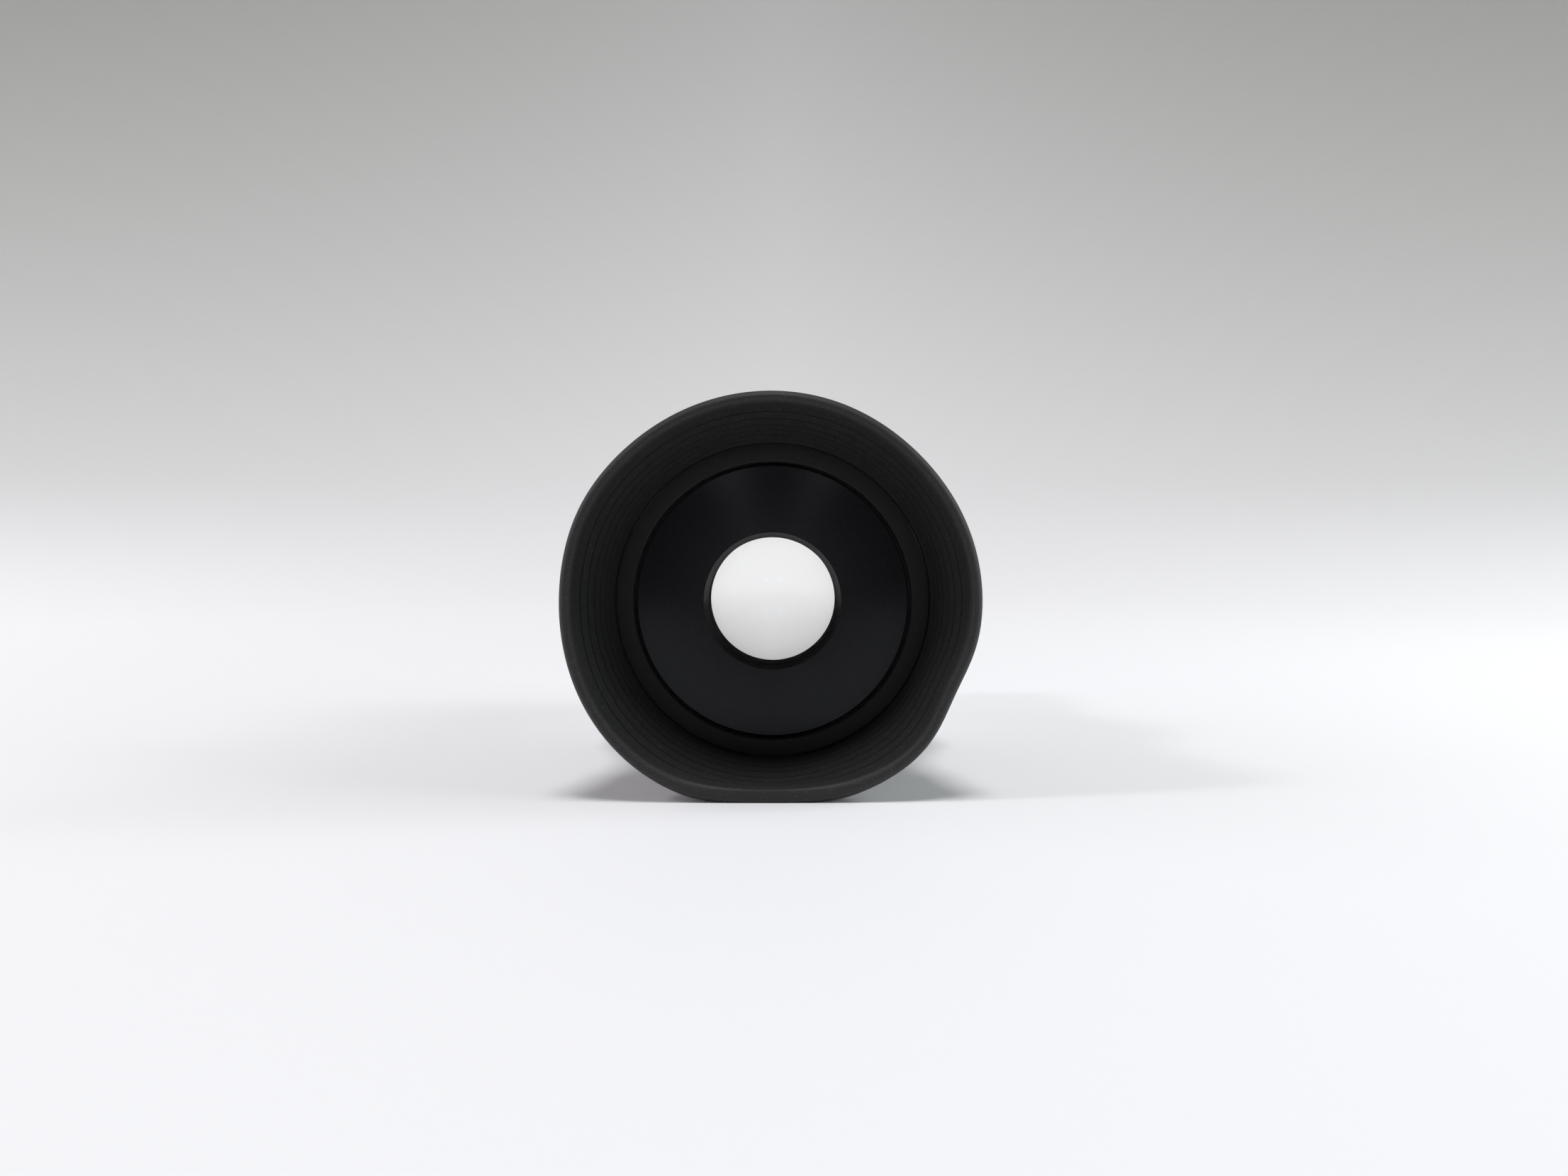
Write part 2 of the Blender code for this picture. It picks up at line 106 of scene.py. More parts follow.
# The skirt's flare, wall and lip
CUP_DEPTH = 11.5
CUP_ROOT_AT = 11.3
CUP_ROOT_RADIUS = 17.8
CUP_FLARE = 3.4
CUP_FLARE_POWER = 1.8
CUP_WALL_AT_RIM = 1.4
CUP_WALL_AT_ROOT = 1.7
ROOT_INSET = 0.15
ROOT_CHAMFER = 0.2
LIP_AT = 1.1
LIP_CREST_RADIUS = 21.3
LIP_GAP_INSIDE = 0.1
LIP_GAP_OUTSIDE = 0.3
LIP_STEPS = 12
INSIDE_STEPS = 64
OUTSIDE_STEPS = 30

# The moulded rings inside the skirt. A step runs from RING_CREST in front to RING_FACE behind.
RING_AT = 2.2
RING_PITCH = 1.35
RING_COUNT = 6
RING_STEP = 0.1
RING_CREST = 0.01
RING_FACE = 0.03

# How the skirt has settled. FLAT_SOFTNESS rounds the ends of its flat, FLAT_SPREAD rounds them
# more for each millimetre inside the wall, and FLAT_ROLL rolls the lip forwards. A bulge is an
# angle and a width in degrees, and a height.
RIM_LIFT = 0.55
FLAT_SOFTNESS = 0.6
FLAT_SPREAD = 1.0
FLAT_ROLL = 0.8
BULGES = (
    (26.0, 8.5, -0.6),
    (47.0, 11.0, 0.36),
    (138.0, 25.0, 0.6),
    (206.0, 13.0, 0.3),
    (314.0, 16.0, -0.24),
)

# The web between the skirt's root and the collar
WEB_OVERLAP = 0.15
WEB_CLEARANCE = 0.04
WEB_THICKNESS = 0.06
WEB_LENGTH = 0.4
WEB_BACK = 0.03

# The collar. A groove is a width, a depth and how far its sides slope.
LEDGE_HOLE_RADIUS = 15.65
LEDGE_THICKNESS = 1.7
COLLAR_BORE_RADIUS = 16.2
COLLAR_GROOVES = 3
COLLAR_GROOVES_LENGTH = 3.6
COLLAR_GROOVE_PITCH = 0.9
COLLAR_GROOVE = (0.45, 0.22, 0.12)

# Casings
GAP = 0.3
EDGE = 0.4
EYE_HOLE_RADIUS = 7.2
EYE_CHAMFER_WIDTH = 0.55
EYE_CHAMFER_DEPTH = 0.33
PLATE_FLANGE = 1.9
THREAD_RADIUS = 14.6
HEAD_RADIUS = 15.95
FLANGE_AT = 22.6
HEAD_GROOVE_AT = 23.5
HEAD_GROOVE = (0.6, 0.35, 0.15)
JOINT_AT = 25.0
SPIGOT_RADIUS = 15.2
CASING_BORE_RADIUS = 12.4
COUNTERBORE_DEPTH = 3.6
BARREL_RECESS = 0.5
SEAL_STEPS = 16

# The grip's ribs. They rise from smooth rubber over RIB_RISE, starting RIB_ROOT below the crests.
GRIP_SEAT_RADIUS = 17.3
GRIP_SHOULDER = 0.8
RIB_COUNT = 36
RIB_STEPS = 16
RIB_DEPTH = 0.6
RIB_WIDTH = 1.6
RIB_POWER = 1.2
RIB_ROOT = 2.2
RIB_RISE = 1.4

# Nosepiece
BARREL_BORE_RADIUS = 13.9
BARREL_THREAD_LENGTH = 3.8
UNDERCUT_AT = 43.0
UNDERCUT = (8.0, 0.5, 0.5)
FILTER_THREAD_RADIUS = 14.3
FILTER_THREAD_DEPTH = 5.0
FILTER_THREAD_PITCH = 0.6
FILTER_THREAD_HEIGHT = 0.3
FILTER_THREAD_STEPS = 10
FILTER_CHAMFER = 0.25
FILTER_RUN_IN = 0.1
FILTER_RUN_OUT = 0.2
BORE_PAINT = 0.15

# Optics
LENS_CURVE = 17.4
LENS_STEPS = 40
FLAT_STEPS = 8
FLINT_THICKNESS = 1.5
CEMENT = 0.02
FLINT_IOR = 1.62
CROWN_IOR = 1.517
CELL_BORE_RADIUS = 9.3
CELL_LIP = 0.8
WASHER_BORE_RADIUS = 7.6
SPACER_BORE_RADIUS = 8.3
RETAINER_BORE_RADIUS = 8.0
STOP_BORE_RADIUS = 8.7
STOP_LAND = 0.1
SLOT_WIDTH = 1.6
SLOT_DEPTH = 0.9

# Locking screws
SCREW_COUNT = 3
SCREW_RADIUS = 0.8
SCREW_TIP_RADIUS = 15.1
SCREW_END_RADIUS = 18.2
SOCKET_RADIUS = 0.42
SOCKET_DEPTH = 0.8
SOCKET_SIDES = 6
BAR_SIDES = 48
CUT_REACH = 1.0

# Colours, in linear light. A pair is mixed by a cloudy noise.
CUP_RUBBER = ((0.0095, 0.0098, 0.0112, 1), (0.0155, 0.0152, 0.0128, 1))
CUP_PITS = (0.001, 0.001, 0.001, 1)
CUP_DUST = (0.034, 0.033, 0.034, 1)
CUP_FLECKS = (0.1, 0.1, 0.098, 1)
# Painted shade for the deep part of the cup and the step behind each ring
CUP_PAINTED_SHADE = (0.0008, 0.0008, 0.0018, 1)
# The cup's rubber darkened with painted shade, for the web deep in the cup
WEB_RUBBER_PAINTED_SHADE = ((0.0015, 0.0015, 0.0018, 1), (0.003, 0.003, 0.0036, 1))
GRIP_RUBBER = ((0.011, 0.0115, 0.012, 1), (0.018, 0.0175, 0.017, 1))
GRIP_WORN = (0.034, 0.033, 0.031, 1)
FACE_BLACK = ((0.0036, 0.0032, 0.0042, 1), (0.005, 0.0034, 0.0042, 1))
FACE_REFLECTION = (0.9, 0.93, 1.0, 1)
CHAMFER_BLACK = ((0.012, 0.009, 0.01, 1), (0.016, 0.012, 0.012, 1))
ANODISED = ((0.006, 0.0065, 0.0085, 1), (0.011, 0.0112, 0.0125, 1))
ANODISED_WORN = (0.1, 0.1, 0.105, 1)
CHROME = ((0.74, 0.75, 0.77, 1), (0.84, 0.84, 0.84, 1))
BLACK_STEEL = ((0.03, 0.031, 0.034, 1), (0.07, 0.07, 0.074, 1))
GLASS = ((0.992, 0.996, 0.994, 1), (1.0, 1.0, 1.0, 1))
FLINT_COAT = (0.05, 0.07, 0.11, 1)
CROWN_COAT = (0.05, 0.08, 0.11, 1)
# Paper colours: near, a paler rear that is painted light, and a dark one that is painted shade
PAPER_NEAR = (0.825, 0.825, 0.845, 1)
PAPER_REAR_PAINTED_LIGHT = (0.91, 0.905, 0.925, 1)
PAPER_PAINTED_SHADE = (0.255, 0.252, 0.225, 1)

# The paper sweep, in metres. Painted shade darkens it with a power of the height, and to the sides
# by SIDE_SHADE from SIDE_SHADE_HEIGHT up. Painted light makes it paler between REAR_FROM and
# REAR_TO.
SWEEP_START = 0.27
SWEEP_RADIUS = 0.36
SWEEP_STEPS = 24
WALL_TOP = 0.8
TABLE_STEPS = 96
HEIGHT_POWER = 0.56
SIDE_SHADE = 0.6
SIDE_SHADE_HEIGHT = 0.05
REAR_FROM = 0.02
REAR_TO = 0.28

# Each light's azimuth (0 in front, 90 to the right) and elevation in degrees, distance and size in
# metres, power and colour
LIGHTS = {
    "top_light": (0, 80, 1.6, 0.42, 14.2, (1.0, 1.0, 1.0)),
    "left_lamp": (-71, 42, 0.6, 0.06, 0.54, (1.0, 1.0, 1.0)),
    "right_lamp": (91, 34, 0.34, 0.05, 0.15, (1.0, 1.0, 1.0)),
    "left_fill": (-88, 27, 0.55, 0.4, 1.0, (1.0, 0.93, 1.0)),
    "right_fill": (84, 27, 0.55, 0.4, 1.4, (0.92, 1.0, 1.0)),
    "left_glint": (-9, 22, 0.6, 0.06, 0.07, (1.0, 1.0, 1.0)),
    "right_glint": (9, 22, 0.6, 0.06, 0.06, (1.0, 1.0, 1.0)),
}
ROOM_COLOUR = (0.5, 0.52, 0.56, 1)
ROOM_STRENGTH = 0.06

# The camera's place from the rim and the axis, its tilt in degrees and its lens
CAMERA_DISTANCE = 129.0
CAMERA_HEIGHT = 9.5
CAMERA_SIDE = 1.3
CAMERA_TILT = 3.26
CAMERA_LENS = 28.66
CAMERA_SENSOR = 36.0
CAMERA_NEAR = 5.0


# ---------------------------------------------------------------- materials


def add_node(tree, kind, inputs=None, **settings):
    """A shader node with its settings and its inputs: numbers, colours or sockets to link."""
    made = tree.nodes.new("ShaderNode" + kind)
    for key, value in settings.items():
        setattr(made, key, value)
    for key, value in (inputs or {}).items():
        if isinstance(value, bpy.types.NodeSocket):
            tree.links.new(value, made.inputs[key])
        else:
            made.inputs[key].default_value = value
    return made


def start_material(name, **constants):
    """A Principled material, its node tree, its shader and its object coordinates."""
    material = bpy.data.materials.new(name)
    material.use_nodes = True
    tree = material.node_tree
    shader = tree.nodes["Principled BSDF"]
    for key, value in constants.items():
        shader.inputs[key.replace("_", " ")].default_value = value
    coords = add_node(tree, "TexCoord").outputs["Object"]
    return material, tree, shader, coords


def feed(tree, shader, **sockets):
    """Links sockets to the shader's inputs of those names."""
    for key, socket in sockets.items():
        tree.links.new(socket, shader.inputs[key.replace("_", " ")])


def calculate(tree, operation, first, second=0.0):
    """The result of a maths node."""
    return add_node(tree, "Math", {0: first, 1: second}, operation=operation).outputs[0]


def vector_math(tree, operation, first, second, output=0):
    """The result of a vector maths node."""
    made = add_node(tree, "VectorMath", {0: first, 1: second}, operation=operation)
    return made.outputs[output]


def spread(tree, value, start, end, to_start=0.0, to_end=1.0):
    """The value mapped smoothly from the range start to end to another range."""
    inputs = {
        "Value": value,
        "From Min": start,
        "From Max": end,
        "To Min": to_start,
        "To Max": to_end,
    }
    return add_node(tree, "MapRange", inputs, interpolation_type="SMOOTHSTEP").outputs["Result"]


def mixed(tree, share, first, second):
    """Two colours mixed by the share."""
    return add_node(
        tree, "Mix", {"Factor": share, 6: first, 7: second}, data_type="RGBA"
    ).outputs[2]


def noise(tree, coords, size, detail=3.0, roughness=0.6):
    """Noise whose features are about that many millimetres across."""
    inputs = {"Vector": coords, "Scale": 1 / (size * MM), "Detail": detail, "Roughness": roughness}
    return add_node(tree, "TexNoise", inputs).outputs["Fac"]


def varied(tree, pattern, low, high):
    """The usual range of a noise mapped to low and high."""
    return spread(tree, pattern, NOISE_LOW, NOISE_HIGH, low, high)


def turning_lines(tree, value, per_mm, detail):
    """Noise that changes along one value only, as the marks of a lathe do."""
    inputs = {"W": calculate(tree, "MULTIPLY", value, per_mm), "Scale": 1.0, "Detail": detail}
    return add_node(tree, "TexNoise", inputs, noise_dimensions="1D").outputs["Fac"]


def axis_radius(tree, coords):
    """The distance from the optical axis in millimetres."""
    part = add_node(tree, "SeparateXYZ", {0: coords}).outputs
    flat = add_node(tree, "CombineXYZ", {"X": part["X"], "Z": part["Z"]}).outputs[0]
    length = add_node(tree, "VectorMath", {0: flat}, operation="LENGTH").outputs["Value"]
    return calculate(tree, "DIVIDE", length, MM)


def axis_station(tree, coords):
    """The station in millimetres."""
    along = add_node(tree, "SeparateXYZ", {0: coords}).outputs["Y"]
    return calculate(tree, "DIVIDE", along, MM)


def bump(tree, shader, height, distance, strength=1.0):
    """Adds relief of that many millimetres to the shader's normal."""
    inputs = {"Height": height, "Distance": distance * MM, "Strength": strength}
    feed(tree, shader, Normal=add_node(tree, "Bump", inputs).outputs["Normal"])


def specks(tree, coords, size, share):
    """Small round specks in cells of that size, in that share of the cells."""
    cells = add_node(tree, "TexVoronoi", {"Vector": coords, "Scale": 1 / (size * MM)})
    chosen = add_node(tree, "SeparateColor", {0: cells.outputs["Color"]}).outputs["Red"]
    near = spread(tree, cells.outputs["Distance"], 0.12, 0.3, 1.0, 0.0)
    return calculate(tree, "MULTIPLY", near, calculate(tree, "LESS_THAN", chosen, share))


def ring_step_painted_shade(tree, coords, station):
    """Painted shade: a dark line in the step behind each moulded ring, only where the surface
    faces the axis.
    """
    behind = calculate(tree, "SUBTRACT", station, RING_AT)
    turns = calculate(tree, "DIVIDE", behind, RING_PITCH)
    line = spread(tree, calculate(tree, "FRACT", turns), 0.27, 0.32, 0.9, 0.0)
    first = calculate(tree, "GREATER_THAN", turns, 0.0)
    last = calculate(tree, "LESS_THAN", turns, float(RING_COUNT))
    across = vector_math(tree, "MULTIPLY", coords, (1.0, 0.0, 1.0))
    normal = add_node(tree, "TexCoord").outputs["Normal"]
    outward = vector_math(tree, "DOT_PRODUCT", normal, across, "Value")
    inside = calculate(tree, "LESS_THAN", outward, 0.0)
    ringed = calculate(tree, "MULTIPLY", calculate(tree, "MULTIPLY", first, last), inside)
    return calculate(tree, "MULTIPLY", line, ringed)


def make_cup_rubber():
    """Matt moulded rubber with a fine grain, pale flecks, dust on the rim, and painted shade deep
    in the cup and behind each ring.
    """
    material, tree, shader, coords = start_material(
        "cup_rubber",
        Roughness=0.6,
        Sheen_Weight=0.05,
        Sheen_Roughness=0.45,
        Specular_IOR_Level=0.33,
    )
    station = axis_station(tree, coords)
    clouds = noise(tree, coords, 7.0)
    grain = noise(tree, coords, 0.12, 4.0, 0.7)
    texture = noise(tree, coords, 0.3, 3.0, 0.7)
    base = mixed(tree, clouds, *CUP_RUBBER)
    pitted = spread(tree, texture, 0.35, 0.65, 0.45, 0.0)
    base = mixed(tree, pitted, base, CUP_PITS)
    on_rim = spread(tree, station, 0.9, 0.05)
    dusty = calculate(tree, "MULTIPLY", on_rim, spread(tree, grain, 0.35, 0.62, 0.15, 0.8))
    worn = mixed(tree, dusty, base, CUP_DUST)
    flecks = calculate(tree, "MULTIPLY", specks(tree, coords, 0.22, 0.3), 0.65)
    flecked = mixed(tree, flecks, worn, CUP_FLECKS)
    # Painted shade: the rubber darkens deeper in the cup, on the wall's root and the ledge
    recess_painted_shade = spread(tree, station, 9.0, 11.2, 0.0, 0.78)
    # Painted shade in the step behind each ring, which also roughens there
    painted_step_shade = ring_step_painted_shade(tree, coords, station)
    dark = calculate(tree, "MAXIMUM", recess_painted_shade, painted_step_shade)
    shaded = mixed(tree, dark, flecked, CUP_PAINTED_SHADE)
    smooth = varied(tree, grain, 0.52, 0.68)
    rough = calculate(tree, "ADD", smooth, calculate(tree, "MULTIPLY", painted_step_shade, 0.3))
    feed(tree, shader, Base_Color=shaded, Roughness=rough)
    bump(tree, shader, grain, 0.02, 0.6)
    return material


def make_web_rubber_painted_shade():
    """The same rubber on the web that bends, darker with painted shade where the cup shelters it
    from light.
    """
    material, tree, shader, coords = start_material(
        "web_rubber_painted_shade", Roughness=0.6, Specular_IOR_Level=0.2
    )
    grain = noise(tree, coords, 0.12, 4.0, 0.7)
    feed(tree, shader, Base_Color=mixed(tree, grain, *WEB_RUBBER_PAINTED_SHADE))
    bump(tree, shader, grain, 0.02, 0.6)
    return material


def make_grip_rubber():
    """The harder ribbed rubber of the grip, rubbed paler on its crests."""
    material, tree, shader, coords = start_material(
        "grip_rubber", Roughness=0.6, Sheen_Weight=0.08
    )
    grain = noise(tree, coords, 0.15, 4.0, 0.7)
    clouds = noise(tree, coords, 5.0)
    crest = spread(tree, axis_radius(tree, coords), GRIP_RADIUS - 0.25, GRIP_RADIUS)
    base = mixed(tree, clouds, *GRIP_RUBBER)
    worn = calculate(tree, "MULTIPLY", crest, clouds)
    rubbed = mixed(tree, worn, base, GRIP_WORN)
    rough = varied(tree, grain, 0.5, 0.68)
    feed(tree, shader, Base_Color=rubbed, Roughness=rough)
    bump(tree, shader, grain, 0.02, 0.6)
    return material


def make_turned_face():
    """Black anodised metal, faced on a lathe: fine rings that smear each reflection."""
    material, tree, shader, coords = start_material(
        "turned_face",
        Roughness=0.27,
        Anisotropic=0.85,
        Anisotropic_Rotation=0.25,
        Specular_IOR_Level=0.29,
        Specular_Tint=FACE_REFLECTION,
    )
    rings = turning_lines(tree, axis_radius(tree, coords), 9.0, 4.0)
    grain = noise(tree, coords, 0.08, 2.0)
    clouds = noise(tree, coords, 6.0)
    tint = mixed(tree, clouds, *FACE_BLACK)
    rough = varied(tree, rings, 0.255, 0.285)
    tangent = add_node(tree, "Tangent", direction_type="RADIAL", axis="Y").outputs[0]
    feed(tree, shader, Base_Color=tint, Roughness=rough, Tangent=tangent)
    both = calculate(tree, "ADD", rings, calculate(tree, "MULTIPLY", grain, 0.3))
    bump(tree, shader, both, 0.0005, 0.15)
    return material


def make_polished_chamfer():
    """The same black finish on the bright-cut chamfer round the eye lens."""
    material, tree, shader, coords = start_material("cut_chamfer", Roughness=0.3, IOR=1.6)
    clouds = noise(tree, coords, 2.0)
    tint = mixed(tree, clouds, *CHAMFER_BLACK)
    rough = varied(tree, clouds, 0.26, 0.36)
    feed(tree, shader, Base_Color=tint, Roughness=rough)
    return material


def make_black_anodised():
    """Satin black anodising on the casings, a little brighter where hands have rubbed it."""
    material, tree, shader, coords = start_material("black_anodised", Roughness=0.36, IOR=1.55)
    grain = noise(tree, coords, 0.07, 2.0)
    clouds = noise(tree, coords, 9.0)
    edges = add_node(tree, "NewGeometry").outputs["Pointiness"]
    worn = calculate(tree, "MULTIPLY", spread(tree, edges, 0.51, 0.56), clouds)
    base = mixed(tree, clouds, *ANODISED)
    rubbed = mixed(tree, worn, base, ANODISED_WORN)
    rough = varied(tree, clouds, 0.3, 0.42)
    feed(tree, shader, Base_Color=rubbed, Roughness=rough)
    bump(tree, shader, grain, 0.004, 0.5)
    return material


def make_chrome():
    """Bright plating with faint turning lines, hairline scratches and finger marks."""
    material, tree, shader, coords = start_material("chrome", Metallic=1.0, Roughness=0.1)
    lines = turning_lines(tree, axis_station(tree, coords), 14.0, 3.0)
    smears = noise(tree, coords, 6.0, 5.0)
    drawn = add_node(tree, "Mapping", {"Vector": coords, "Scale": (1.0, 0.06, 1.0)}).outputs[0]
    scratches = add_node(
        tree, "TexNoise", {"Vector": drawn, "Scale": 2500.0, "Detail": 2.0}
    ).outputs["Fac"]
    marks = calculate(tree, "MULTIPLY", spread(tree, scratches, 0.66, 0.74), 0.1)
    tint = mixed(tree, smears, *CHROME)
    smooth = spread(tree, smears, 0.4, 0.68, 0.06, 0.17)
    feed(tree, shader, Base_Color=tint, Roughness=calculate(tree, "ADD", smooth, marks))
    bump(tree, shader, lines, 0.0015, 0.35)
    return material


def make_matt_black(name, shade, roughness):
    """A matt black of that shade: blackened metal, hard rubber or film."""
    material, tree, shader, coords = start_material(name, Roughness=roughness, IOR=1.45)
    grain = noise(tree, coords, 0.1, 3.0)
    clouds = noise(tree, coords, 3.0)
    dark = (shade, shade, 1.1 * shade, 1)
    lighter = (2 * shade, 1.9 * shade, 2 * shade, 1)
    tint = mixed(tree, clouds, dark, lighter)
    rough = varied(tree, grain, roughness - 0.08, roughness + 0.1)
    feed(tree, shader, Base_Color=tint, Roughness=rough)
    bump(tree, shader, grain, 0.006, 0.6)
    return material


def make_black_steel():
    """Oiled black oxide on the grub screws."""
    material, tree, shader, coords = start_material("black_steel", Metallic=0.85, Roughness=0.35)
    grain = noise(tree, coords, 0.1, 3.0)
    tint = mixed(tree, grain, *BLACK_STEEL)
    rough = varied(tree, grain, 0.26, 0.45)
    feed(tree, shader, Base_Color=tint, Roughness=rough)
    return material


def make_glass(name, ior, coat):
    """Clear glass whose coating takes most of the reflection away and tints the rest."""
    material, tree, shader, coords = start_material(
        name, Transmission_Weight=1.0, Roughness=0.0, IOR=ior, Specular_Tint=coat
    )
    haze = noise(tree, coords, 4.0)
    feed(tree, shader, Base_Color=mixed(tree, haze, *GLASS))
    return material


def make_paper_material():
    """Smooth pale paper with painted light and shade: paler to the rear, darker higher up and out
    to the sides.
    """
    material, tree, shader, coords = start_material("paper", Roughness=0.75)
    part = add_node(tree, "SeparateXYZ", {0: coords}).outputs
    # Painted shade: darker with the height and out to the sides
    height = calculate(tree, "MAXIMUM", part["Z"], 0.0)
    upward = calculate(tree, "POWER", height, HEIGHT_POWER)
    aside = calculate(tree, "ABSOLUTE", part["X"])
    beside = spread(tree, part["Z"], 0.0, SIDE_SHADE_HEIGHT, 0.0, SIDE_SHADE)
    shade = calculate(tree, "ADD", upward, calculate(tree, "MULTIPLY", aside, beside))
    # Painted light: paler towards the rear
    rear = spread(tree, part["Y"], REAR_FROM, REAR_TO)
    pale = mixed(tree, rear, PAPER_NEAR, PAPER_REAR_PAINTED_LIGHT)
    feed(tree, shader, Base_Color=mixed(tree, shade, pale, PAPER_PAINTED_SHADE))
    fibres = noise(tree, coords, 3.0, 5.0)
    bump(tree, shader, fibres, 0.02, 0.15)
    return material


# ---------------------------------------------------------------- geometry


def rounded(corners, steps=5):
    """Points of a closed outline whose corners are (radius, station, fillet)."""
    points = []
    for number, (radius, station, fillet) in enumerate(corners):
        here = Vector((radius, station))
        if fillet == 0:
            points.append(tuple(here))
            continue
        before = (Vector(corners[number - 1][:2]) - here).normalized()
        after = (Vector(corners[(number + 1) % len(corners)][:2]) - here).normalized()
        half = before.angle(after) / 2
        centre = here + (before + after).normalized() * (fillet / math.sin(half))
        first = here + before * (fillet / math.tan(half)) - centre
        last = here + after * (fillet / math.tan(half)) - centre
        for step in range(steps + 1):
            arm = first.lerp(last, step / steps).normalized() * fillet
            points.append(tuple(centre + arm))
    return points


def quarter_arc(start, end, corner, steps):
    """Points on the quarter ellipse from start to end that bulges towards their shared corner."""
    centre = (start[0] + end[0] - corner[0], start[1] + end[1] - corner[1])
    turns = [math.pi / 2 * step / steps for step in range(steps + 1)]
    return [
        tuple(
            c + (a - c) * math.cos(turn) + (b - c) * math.sin(turn)
            for a, b, c in zip(start, end, centre)
        )
        for turn in turns
    ]


def groove(radius, front, width, depth, slope, edge_fillet, floor_fillet):
    """Corners of a groove with sloping sides in a cylinder's outside."""
    return [
        (radius, front, edge_fillet),
        (radius - depth, front + slope, floor_fillet),
        (radius - depth, front + width - slope, floor_fillet),
        (radius, front + width, edge_fillet),
    ]


def turned(name, outline, reshape=None, segments=SEGMENTS):
    """An object turned from a closed outline. Its origin is where the axis meets the rim's plane.

    Angles run from +X towards the table. reshape may move the points, given as arrays of radius,
    angle and station, and returns the new x, distance below the axis, and station.
    """
    outline = np.array(outline)
    angles = np.arange(segments) * math.tau / segments
    radius, angle = np.meshgrid(outline[:, 0], angles, indexing="ij")
    station = np.meshgrid(outline[:, 1], angles, indexing="ij")[0]
    if reshape is None:
        x, down = radius * np.cos(angle), radius * np.sin(angle)
    else:
        x, down, station = reshape(radius, angle, station)
    points = np.stack([x, station, -down], axis=-1).reshape(-1, 3) * MM
    rows = len(outline)
    faces = []
    for row in range(rows):
        after = (row + 1) % rows
        if outline[row][0] == 0.0 and outline[after][0] == 0.0:
            continue
        here, there = row * segments, after * segments
        for k in range(segments):
            along = (k + 1) % segments
            faces.append((here + k, here + along, there + along, there + k))
    mesh = bpy.data.meshes.new(name)
    mesh.from_pydata(points.tolist(), [], faces)
    return finished(name, mesh)


def shade(mesh):
    """Smooth shading that keeps the sharp edges."""
    mesh.shade_smooth()
    mesh.set_sharp_from_angle(angle=SHARP_ANGLE)


def finished(name, mesh):
    """Cleans a mesh, turns its faces outwards, shades it and links it as an object."""
    shape = bmesh.new()
    shape.from_mesh(mesh)
    bmesh.ops.remove_doubles(shape, verts=shape.verts, dist=MERGE_DISTANCE * MM)
    shape.normal_update()
    bmesh.ops.recalc_face_normals(shape, faces=shape.faces)
    shape.to_mesh(mesh)
    shape.free()
    shade(mesh)
    thing = bpy.data.objects.new(name, mesh)
    thing.location = (0.0, RIM_Y * MM, AXIS_Z * MM)
    bpy.context.scene.collection.objects.link(thing)
    return thing


def from_shape(name, shape):
    """An object from a bmesh, which it frees."""
    mesh = bpy.data.meshes.new(name)
    shape.to_mesh(mesh)
    shape.free()
    return finished(name, mesh)


def place(thing, node, material, body="housing"):
    """Gives a piece its material and body, and hides the CAD node that it stands in for."""
    thing.data.materials.append(material)
    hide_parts(node)
    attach(thing, body)


def paint_where(thing, material, chosen):
    """Gives a second material to the faces whose (radius, station) centre the test picks."""
    thing.data.materials.append(material)
    index = len(thing.data.materials) - 1
    for face in thing.data.polygons:
        x, station, z = (value / MM for value in face.center)
        if chosen(math.hypot(x, z), station):
            face.material_index = index


def cut(thing, cutter):
    """Subtracts a cutter from a piece and removes the cutter."""
    modifier = thing.modifiers.new("cut", "BOOLEAN")
    modifier.operation = "DIFFERENCE"
    modifier.solver = "EXACT"
    modifier.object = cutter
    graph = bpy.context.evaluated_depsgraph_get()
    mesh = bpy.data.meshes.new_from_object(thing.evaluated_get(graph))
    thing.modifiers.clear()
    thing.data = mesh
    shade(mesh)
    bpy.data.objects.remove(cutter, do_unlink=True)


def radial_bar(name, radius, tip, end, turn, station, sides=BAR_SIDES):
    """A bar along the radius at that turn, between the two distances from the axis."""
    shape = bmesh.new()
    bmesh.ops.create_cone(
        shape, cap_ends=True, segments=sides, radius1=radius, radius2=radius, depth=end - tip
    )
    middle = (tip + end) / 2
    for vert in shape.verts:
        across, behind, out = vert.co.x, vert.co.y, vert.co.z + middle
        x = out * math.cos(turn) - across * math.sin(turn)
        down = out * math.sin(turn) + across * math.cos(turn)
        vert.co = Vector((x, station + behind, -down)) * MM
    return from_shape(name, shape)


# ---------------------------------------------------------------- eyecup


def bell(station):
    """The radius of the skirt's inside before it settles and without its rings."""
    rise = np.maximum(0.0, (CUP_DEPTH - station) / CUP_DEPTH)
    return CUP_ROOT_RADIUS + CUP_FLARE * rise**CUP_FLARE_POWER


def bell_outside(station):
    """The radius of the skirt's outside. Its wall thins from the root to the rim."""
    station = np.maximum(station, LIP_AT)
    share = (station - LIP_AT) / (CUP_ROOT_AT - LIP_AT)
    return bell(station) + CUP_WALL_AT_RIM + (CUP_WALL_AT_ROOT - CUP_WALL_AT_RIM) * share


def hump(angle, middle, width):
    """A bell curve of height 1 round that angle. The middle and the width are in degrees."""
    off = np.mod(angle - math.radians(middle) + math.pi, math.tau) - math.pi
    return np.exp(-0.5 * (off / math.radians(width)) ** 2)


def softened(below, softness):
    """How far the table pushes up what would lie that far below it. It starts gently."""
    return (below + np.hypot(below, softness)) / 2


